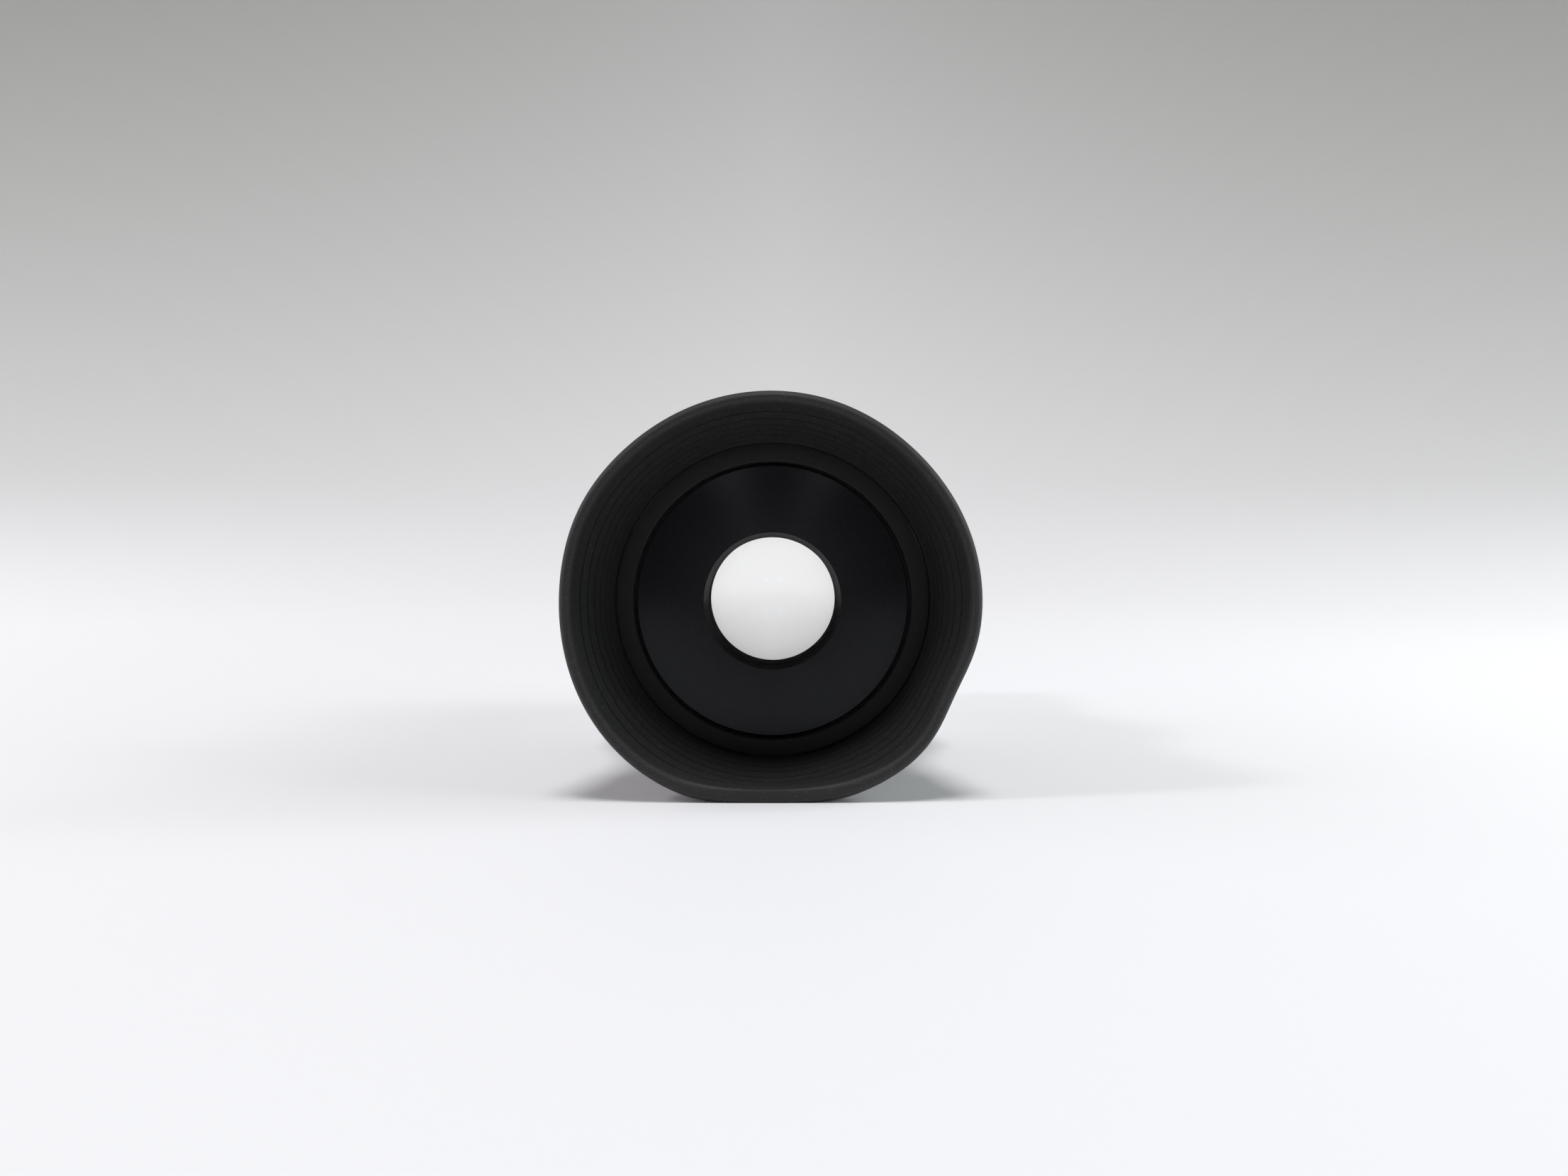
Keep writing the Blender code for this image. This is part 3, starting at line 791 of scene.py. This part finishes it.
def settle(radius, angle, station):
    """Where the soft skirt has settled: lifted by the table, flat below, dented and bulging."""
    reach = np.maximum(0.0, 1.0 - station / CUP_DEPTH)
    bulge = reach * sum(height * hump(angle, middle, width) for middle, width, height in BULGES)
    outside = bell_outside(station)
    lift = RIM_LIFT * reach
    lowest = np.maximum(0.0, outside - lift - AXIS_Z)
    below = (outside + bulge) * np.sin(angle) - lift - AXIS_Z
    softness = FLAT_SOFTNESS + FLAT_SPREAD * np.maximum(0.0, outside - radius)
    flattened = softened(below, softness) * lowest / softened(lowest, softness)
    near_lip = np.maximum(0.0, 1.0 - np.abs(station - LIP_AT) / LIP_AT)
    x = (radius + bulge) * np.cos(angle)
    down = (radius + bulge) * np.sin(angle) - lift - flattened
    return x, down, station - FLAT_ROLL * flattened * near_lip


def inside_radius(station):
    """The skirt's inside, which steps outwards behind each moulded ring."""
    behind = (station - RING_AT) % RING_PITCH
    stepped = RING_AT <= station < RING_AT + RING_COUNT * RING_PITCH
    return float(bell(station)) + stepped * RING_STEP * (1.0 - behind / RING_PITCH)


def make_skirt(rubber):
    """The flared skirt, which folds back round the head."""
    stations = set(np.linspace(LIP_AT + LIP_GAP_INSIDE, CUP_ROOT_AT - ROOT_INSET, INSIDE_STEPS))
    for ring in range(RING_COUNT):
        edge = RING_AT + ring * RING_PITCH
        stations |= {edge - RING_CREST, edge + RING_FACE}
    lip_inside = (inside_radius(LIP_AT), LIP_AT)
    lip_crest = (LIP_CREST_RADIUS, 0.0)
    lip_outside = (float(bell_outside(LIP_AT)), LIP_AT)
    outline = [(CUP_ROOT_RADIUS, CUP_ROOT_AT)]
    outline += [(inside_radius(s), s) for s in sorted(stations, reverse=True)]
    outline += quarter_arc(lip_inside, lip_crest, (lip_inside[0], 0.0), LIP_STEPS)
    outline += quarter_arc(lip_crest, lip_outside, (lip_outside[0], 0.0), LIP_STEPS)[1:]
    outside = np.linspace(LIP_AT + LIP_GAP_OUTSIDE, CUP_ROOT_AT - ROOT_CHAMFER, OUTSIDE_STEPS)
    outline += [(float(bell_outside(s)), s) for s in outside]
    outline.append((float(bell_outside(CUP_ROOT_AT)) - ROOT_CHAMFER, CUP_ROOT_AT))
    skirt = turned("flared_skirt", outline, settle, 2 * SEGMENTS)
    place(skirt, "eyecup_skirt", rubber, "eyecup")


def make_fold_web(rubber):
    """The thin web that joins the skirt's root to the collar and stretches as the skirt folds."""
    root_radius = CUP_ROOT_RADIUS + WEB_OVERLAP
    inner_radius = COLLAR_RADIUS + WEB_CLEARANCE
    outline = [
        (root_radius, CUP_ROOT_AT - WEB_OVERLAP),
        (inner_radius, LEDGE_AT),
        (inner_radius, LEDGE_AT + WEB_LENGTH),
        (inner_radius + WEB_THICKNESS, LEDGE_AT + WEB_LENGTH),
        (root_radius, CUP_ROOT_AT + WEB_BACK),
    ]
    web = turned("fold_web", outline)
    web.data.materials.append(rubber)
    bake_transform(web)


def make_collar(rubber):
    """The sleeve round the head, with the ledge that covers the head's front edge."""
    ledge_back = LEDGE_AT + LEDGE_THICKNESS
    corners = [
        (LEDGE_HOLE_RADIUS, LEDGE_AT, 0.22),
        (COLLAR_RADIUS, LEDGE_AT, 0.05),
    ]
    for number in range(COLLAR_GROOVES):
        front = COLLAR_END - COLLAR_GROOVES_LENGTH + number * COLLAR_GROOVE_PITCH
        corners += groove(COLLAR_RADIUS, front, *COLLAR_GROOVE, 0.06, 0.06)
    corners += [
        (COLLAR_RADIUS, COLLAR_END, 0.35),
        (COLLAR_BORE_RADIUS, COLLAR_END, 0.1),
        (COLLAR_BORE_RADIUS, ledge_back, 0.0),
        (LEDGE_HOLE_RADIUS, ledge_back, 0.1),
    ]
    collar = turned("rubber_collar", rounded(corners))
    place(collar, "eyecup_collar", rubber)


# ---------------------------------------------------------------- casings


def make_face_plate(face, chamfer, matt):
    """The disc round the eye lens, with a threaded boss behind its flange."""
    boss = THREAD_RADIUS - GAP
    chamfer_radius = EYE_HOLE_RADIUS + EYE_CHAMFER_WIDTH
    chamfer_back = FACE_AT + EYE_CHAMFER_DEPTH
    bore = EYE_HOLE_RADIUS + TOLERANCE
    corners = [
        (EYE_HOLE_RADIUS, chamfer_back, 0.03),
        (chamfer_radius, FACE_AT, 0.02),
        (PLATE_RADIUS, FACE_AT, 0.14),
        (PLATE_RADIUS, FACE_AT + PLATE_FLANGE, 0.1),
        (boss, FACE_AT + PLATE_FLANGE, 0.0),
        (boss, PLATE_BACK, 0.1),
        (EYE_HOLE_RADIUS, PLATE_BACK, 0.1),
    ]
    plate = turned("turned_face_plate", rounded(corners))
    place(plate, "face_plate", face)
    paint_where(plate, chamfer, lambda r, s: r < chamfer_radius and s < chamfer_back)
    paint_where(plate, matt, lambda r, s: r < bore and s > chamfer_back)


def make_head(anodised):
    """The casing between the face plate and the main body."""
    front = LEDGE_AT + LEDGE_THICKNESS + GAP
    corners = [
        (THREAD_RADIUS, front, 0.0),
        (HEAD_RADIUS, front, 0.2),
        (HEAD_RADIUS, FLANGE_AT, 0.0),
        (FLANGE_RADIUS, FLANGE_AT, 0.45),
        *groove(FLANGE_RADIUS, HEAD_GROOVE_AT, *HEAD_GROOVE, 0.05, 0.05),
        (FLANGE_RADIUS, JOINT_AT, 0.25),
        (SPIGOT_RADIUS, JOINT_AT, 0.0),
        (SPIGOT_RADIUS, SPIGOT_END, 0.2),
        (CASING_BORE_RADIUS, SPIGOT_END, 0.2),
        (CASING_BORE_RADIUS, PLATE_BACK + GAP, 0.0),
        (THREAD_RADIUS, PLATE_BACK + GAP, 0.0),
    ]
    place(turned("head_casing", rounded(corners)), "head_shell", anodised)


def screw_turns():
    """The angles of the locking screws about the axis; one is on top."""
    return [-math.pi / 2 + math.tau * k / SCREW_COUNT for k in range(SCREW_COUNT)]


def screw_station():
    """The station of the locking screws, from the one on top."""
    low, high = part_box("set_screw_1")
    return (low.y + high.y) / 2 / MM - RIM_Y


def make_body(anodised):
    """The lower casing, with the grip's seat, the nosepiece's recess and the screw holes."""
    counterbore_end = BODY_AT + COUNTERBORE_DEPTH
    recess_radius = BARREL_RADIUS + GAP
    recess_front = SHOULDER_AT - BARREL_RECESS
    thread_bore = THREAD_RADIUS + GAP
    thread_front = recess_front - BARREL_THREAD_LENGTH
    corners = [
        (SPIGOT_RADIUS + GAP, BODY_AT, 0.0),
        (BODY_RADIUS, BODY_AT, 0.25),
        (BODY_RADIUS, GRIP_AT - GAP, 0.1),
        (GRIP_SEAT_RADIUS, GRIP_AT - GAP, 0.0),
        (GRIP_SEAT_RADIUS, GRIP_END + GAP, 0.0),
        (BODY_RADIUS, GRIP_END + GAP, 0.1),
        (BODY_RADIUS, SHOULDER_AT, 0.5),
        (recess_radius, SHOULDER_AT, 0.12),
        (recess_radius, recess_front, 0.0),
        (thread_bore, recess_front, 0.0),
        (thread_bore, thread_front, 0.0),
        (CASING_BORE_RADIUS, thread_front, 0.0),
        (CASING_BORE_RADIUS, counterbore_end, 0.0),
        (SPIGOT_RADIUS + GAP, counterbore_end, 0.0),
    ]
    body = turned("lower_casing", rounded(corners))
    hole_end = BODY_RADIUS + CUT_REACH
    for turn in screw_turns():
        hole = radial_bar(
            "hole", SCREW_RADIUS + GAP, THREAD_RADIUS, hole_end, turn, screw_station()
        )
        cut(body, hole)
    place(body, "main_body", anodised)


def make_screws(steel):
    """The grub screws, each with a hexagonal socket."""
    at = screw_station()
    tip = SCREW_END_RADIUS - SOCKET_DEPTH
    end = SCREW_END_RADIUS + CUT_REACH
    for number, turn in enumerate(screw_turns(), 1):
        name = f"grub_screw_{number}"
        screw = radial_bar(name, SCREW_RADIUS, SCREW_TIP_RADIUS, SCREW_END_RADIUS, turn, at)
        socket = radial_bar("socket", SOCKET_RADIUS, tip, end, turn, at, SOCKET_SIDES)
        cut(screw, socket)
        place(screw, f"set_screw_{number}", steel)


def ribbed(radius, angle, station):
    """Presses rounded grooves between the ribs into the grip's outer face."""
    wave = 0.5 + 0.5 * np.cos((angle - math.pi / 2) * RIB_COUNT)
    rib = np.clip(RIB_WIDTH * wave, 0.0, 1.0) ** RIB_POWER
    outer = np.clip((radius - (GRIP_RADIUS - RIB_ROOT)) / RIB_RISE, 0.0, 1.0)
    radius = radius - RIB_DEPTH * (1.0 - rib) * outer
    return radius * np.cos(angle), radius * np.sin(angle), station


def make_grip(rubber):
    """The ribbed rubber band round the main body."""
    inner = GRIP_SEAT_RADIUS + GAP
    corners = [
        (inner, GRIP_AT, 0.1),
        (GRIP_RADIUS - GRIP_SHOULDER, GRIP_AT, 0.3),
        (GRIP_RADIUS, GRIP_AT + GRIP_SHOULDER, 0.4),
        (GRIP_RADIUS, GRIP_END - GRIP_SHOULDER, 0.4),
        (GRIP_RADIUS - GRIP_SHOULDER, GRIP_END, 0.3),
        (inner, GRIP_END, 0.1),
    ]
    grip = turned("ribbed_grip", rounded(corners, 6), ribbed, RIB_COUNT * RIB_STEPS)
    place(grip, "grip_ring", rubber)


def filter_thread(radius, angle, station):
    """Winds a helical thread into the barrel's end."""
    first = BARREL_END - FILTER_THREAD_DEPTH + FILTER_RUN_OUT
    last = BARREL_END - FILTER_RUN_IN
    bore = FILTER_THREAD_RADIUS + TOLERANCE
    turns = station / FILTER_THREAD_PITCH - angle / math.tau
    ridge = 1.0 - np.abs(2.0 * np.mod(turns, 1.0) - 1.0)
    threaded = (radius < bore) & (station > first) & (station < last)
    radius = radius - np.where(threaded, FILTER_THREAD_HEIGHT * ridge, 0.0)
    return radius * np.cos(angle), radius * np.sin(angle), station


def make_nosepiece(chrome, matt):
    """The barrel, with its safety undercut outside and its filter thread inside."""
    shoulder = BARREL_AT + BARREL_THREAD_LENGTH
    filter_front = BARREL_END - FILTER_THREAD_DEPTH
    filter_back = BARREL_END - FILTER_CHAMFER
    painted = BARREL_BORE_RADIUS + BORE_PAINT
    corners = [
        (BARREL_BORE_RADIUS, BARREL_AT, 0.1),
        (THREAD_RADIUS, BARREL_AT, 0.2),
        (THREAD_RADIUS, shoulder, 0.0),
        (BARREL_RADIUS, shoulder, 0.1),
        *groove(BARREL_RADIUS, UNDERCUT_AT, *UNDERCUT, 0.06, 0.08),
        (BARREL_RADIUS, BARREL_END - EDGE, 0.1),
        (BARREL_RADIUS - EDGE, BARREL_END, 0.06),
        (FILTER_THREAD_RADIUS + FILTER_CHAMFER, BARREL_END, 0.04),
        (FILTER_THREAD_RADIUS, filter_back, 0.0),
    ]
    count = int(FILTER_THREAD_DEPTH / FILTER_THREAD_PITCH * FILTER_THREAD_STEPS)
    threaded = np.linspace(filter_back, filter_front, count)[1:]
    outline = rounded(corners) + [(FILTER_THREAD_RADIUS, s) for s in threaded]
    outline.append((BARREL_BORE_RADIUS, filter_front - EDGE))
    barrel = turned("barrel", outline, filter_thread)
    place(barrel, "nosepiece", chrome)
    paint_where(barrel, matt, lambda r, s: r < painted and s < filter_front)


def make_seal(rubber):
    """The O-ring at the end of the head's spigot."""
    section = (SEAL_END - SEAL_AT) / 2
    radius, middle = SEAL_RADIUS - section, (SEAL_AT + SEAL_END) / 2
    turns = [math.tau * k / SEAL_STEPS for k in range(SEAL_STEPS)]
    outline = [(radius + section * math.cos(t), middle + section * math.sin(t)) for t in turns]
    place(turned("seal_ring", outline), "o_ring", rubber)


# ---------------------------------------------------------------- optics


def sag(radius):
    """How far a lens surface has curved away from its vertex plane at that radius."""
    return LENS_CURVE - math.sqrt(LENS_CURVE**2 - radius**2)


def curve(vertex, direction):
    """Points from the axis to the rim of a lens surface. Direction 1 curves to the rear."""
    radii = [LENS_RADIUS * k / LENS_STEPS for k in range(LENS_STEPS + 1)]
    return [(radius, vertex + direction * sag(radius)) for radius in radii]


def make_doublets(flint, crown):
    """Two equal cemented doublets, crowns face to face."""
    middle = (EYE_FLINT_AT + FIELD_FLINT_END) / 2
    flint_back = EYE_FLINT_AT + FLINT_THICKNESS
    crown_front = flint_back + CEMENT
    flat = [(LENS_RADIUS * k / FLAT_STEPS, EYE_FLINT_AT) for k in range(FLAT_STEPS + 1)]
    parts = {
        "flint": (flat + curve(flint_back, 1)[::-1], flint),
        "crown": (curve(crown_front, 1) + curve(CROWN_BACK, -1)[::-1], crown),
    }
    for side in ("eye", "field"):
        for part, (outline, glass) in parts.items():
            if side == "field":
                outline = [(radius, 2 * middle - station) for radius, station in outline]
            lens = turned(f"{side}_{part}", outline)
            place(lens, f"{side}_lens_{part}", glass)


def make_washer(name, node, bore, film):
    """A thin ring that sets a lens's clearance."""
    outer, front, back = extent(node)
    corners = [(bore, front, 0.05), (outer, front, 0.05), (outer, back, 0.05), (bore, back, 0.05)]
    place(turned(name, rounded(corners, 3)), node, film)


def make_cell(matt):
    """The tube that holds the lens stack, with a lip in front of the eye lens."""
    corners = [
        (EYE_HOLE_RADIUS, CELL_AT, 0.05),
        (CELL_RADIUS, CELL_AT, 0.1),
        (CELL_RADIUS, CELL_END, 0.2),
        (CELL_BORE_RADIUS, CELL_END, 0.1),
        (CELL_BORE_RADIUS, CELL_AT + CELL_LIP, 0.0),
        (EYE_HOLE_RADIUS, CELL_AT + CELL_LIP, 0.05),
    ]
    place(turned("lens_tube", rounded(corners)), "lens_cell", matt)


def make_spacer(matt):
    """The ring between the doublets. Its ends slope with the lenses that it touches."""
    slope = sag(SPACER_RADIUS) - sag(SPACER_BORE_RADIUS)
    outline = [
        (SPACER_BORE_RADIUS, SPACER_AT + slope),
        (SPACER_RADIUS, SPACER_AT),
        (SPACER_RADIUS, SPACER_END),
        (SPACER_BORE_RADIUS, SPACER_END - slope),
    ]
    place(turned("spacer_ring", outline), "lens_spacer", matt)


def make_retainer(matt):
    """The threaded ring behind the stack, with two slots for a spanner."""
    corners = [
        (RETAINER_BORE_RADIUS, RETAINER_AT, 0.1),
        (RETAINER_RADIUS, RETAINER_AT, 0.1),
        (RETAINER_RADIUS, RETAINER_END, 0.12),
        (RETAINER_BORE_RADIUS, RETAINER_END, 0.25),
    ]
    retainer = turned("retaining_ring", rounded(corners))
    length = 3 * RETAINER_RADIUS
    bar = bmesh.new()
    bmesh.ops.create_cube(bar, size=1.0)
    for vert in bar.verts:
        station = RETAINER_END + vert.co.y * 2 * SLOT_DEPTH
        vert.co = Vector((vert.co.x * length, station, vert.co.z * SLOT_WIDTH)) * MM
    cut(retainer, from_shape("slot", bar))
    place(retainer, "lens_retainer", matt)


def make_stop(matt):
    """The thin ring at the focal plane, bevelled to a fine edge."""
    middle = (STOP_AT + STOP_END) / 2
    bevel = (STOP_END - STOP_AT) / 2
    corners = [
        (STOP_BORE_RADIUS, middle - STOP_LAND, 0.0),
        (STOP_BORE_RADIUS + bevel, STOP_AT, 0.1),
        (STOP_RADIUS, STOP_AT, 0.05),
        (STOP_RADIUS, STOP_END, 0.05),
        (STOP_BORE_RADIUS + STOP_LAND, STOP_END, 0.02),
        (STOP_BORE_RADIUS, middle + STOP_LAND, 0.0),
    ]
    place(turned("stop_ring", rounded(corners)), "field_stop", matt)


# ---------------------------------------------------------------- stage


def sweep_part(name, profile, turns, material):
    """Part of the round paper sweep: a profile of (radius, height) in metres over those turns."""
    points = [(r * math.cos(t), r * math.sin(t), z) for r, z in profile for t in turns]
    count = len(turns)
    faces = [
        (row * count + k, row * count + k + 1, (row + 1) * count + k + 1, (row + 1) * count + k)
        for row in range(len(profile) - 1)
        for k in range(count - 1)
    ]
    mesh = bpy.data.meshes.new(name)
    mesh.from_pydata(points, [], faces)
    mesh.shade_smooth()
    mesh.materials.append(material)
    part = bpy.data.objects.new(name, mesh)
    bpy.context.scene.collection.objects.link(part)
    return part


def make_paper():
    """A round table top of paper that sweeps up on all sides.

    Only the camera sees the front of the wall, so the room in front of the eyecup stays dark.
    """
    material = make_paper_material()
    lean = [math.pi / 2 * k / SWEEP_STEPS for k in range(SWEEP_STEPS + 1)]
    wall = [
        (SWEEP_START + SWEEP_RADIUS * math.sin(t), SWEEP_RADIUS * (1 - math.cos(t)))
        for t in lean
    ]
    wall.append((SWEEP_START + SWEEP_RADIUS, WALL_TOP))
    around = [math.tau * k / TABLE_STEPS for k in range(TABLE_STEPS + 1)]
    half = TABLE_STEPS // 2
    sweep_part("table", [(0.0, 0.0), (SWEEP_START, 0.0)], around, material)
    sweep_part("rear_wall", wall, around[: half + 1], material)
    front = sweep_part("front_wall", wall, around[half:], material)
    front.visible_glossy = False
    front.visible_diffuse = False
    front.visible_transmission = False
    front.visible_shadow = False


def add_light(name, azimuth, elevation, distance, size, power, colour):
    """A soft square light aimed at the eyepiece, which the camera doesn't see."""
    light = bpy.data.lights.new(name, "AREA")
    light.shape = "RECTANGLE"
    light.size = size
    light.size_y = size
    light.energy = power
    light.color = colour
    lamp = bpy.data.objects.new(name, light)
    a, e = math.radians(azimuth), math.radians(elevation)
    towards = Vector((math.sin(a) * math.cos(e), -math.cos(a) * math.cos(e), math.sin(e)))
    lamp.location = towards * distance
    lamp.rotation_euler = towards.to_track_quat("Z", "Y").to_euler()
    lamp.visible_camera = False
    bpy.context.scene.collection.objects.link(lamp)


def make_lights():
    """One light overhead, two lamps and two soft fills at the sides, two small lamps in front."""
    for name, values in LIGHTS.items():
        add_light(name, *values)
    world = bpy.data.worlds.new("room")
    world.use_nodes = True
    background = world.node_tree.nodes["Background"].inputs
    background["Color"].default_value = ROOM_COLOUR
    background["Strength"].default_value = ROOM_STRENGTH
    bpy.context.scene.world = world


def make_camera():
    """Close in front of the eyecup, a little above the axis, tilted slightly down."""
    camera = bpy.data.cameras.new("camera")
    camera.sensor_width = CAMERA_SENSOR
    camera.sensor_fit = "HORIZONTAL"
    camera.lens = CAMERA_LENS
    camera.clip_start = CAMERA_NEAR * MM
    thing = bpy.data.objects.new("camera", camera)
    offset = Vector((CAMERA_SIDE, RIM_Y - CAMERA_DISTANCE, AXIS_Z + CAMERA_HEIGHT))
    thing.location = offset * MM
    thing.rotation_euler = (math.radians(90.0 - CAMERA_TILT), 0.0, 0.0)
    bpy.context.scene.collection.objects.link(thing)
    bpy.context.scene.camera = thing


def make_eyepiece():
    """Every piece of the eyepiece."""
    cup_rubber = make_cup_rubber()
    anodised = make_black_anodised()
    matt = make_matt_black("blackened_metal", 0.0035, 0.62)
    film = make_matt_black("washer_film", 0.008, 0.45)
    make_skirt(cup_rubber)
    make_fold_web(make_web_rubber_painted_shade())
    make_collar(cup_rubber)
    make_face_plate(make_turned_face(), make_polished_chamfer(), matt)
    make_head(anodised)
    make_body(anodised)
    make_screws(make_black_steel())
    make_grip(make_grip_rubber())
    make_nosepiece(make_chrome(), matt)
    make_seal(make_matt_black("nitrile", 0.006, 0.5))
    make_doublets(
        make_glass("flint_glass", FLINT_IOR, FLINT_COAT),
        make_glass("crown_glass", CROWN_IOR, CROWN_COAT),
    )
    make_washer("front_washer", "eye_washer", WASHER_BORE_RADIUS, film)
    make_washer("rear_washer", "field_washer", RETAINER_BORE_RADIUS, film)
    make_cell(matt)
    make_spacer(matt)
    make_retainer(matt)
    make_stop(matt)


make_camera()
make_eyepiece()
make_paper()
make_lights()
bpy.context.scene.view_settings.view_transform = "Standard"
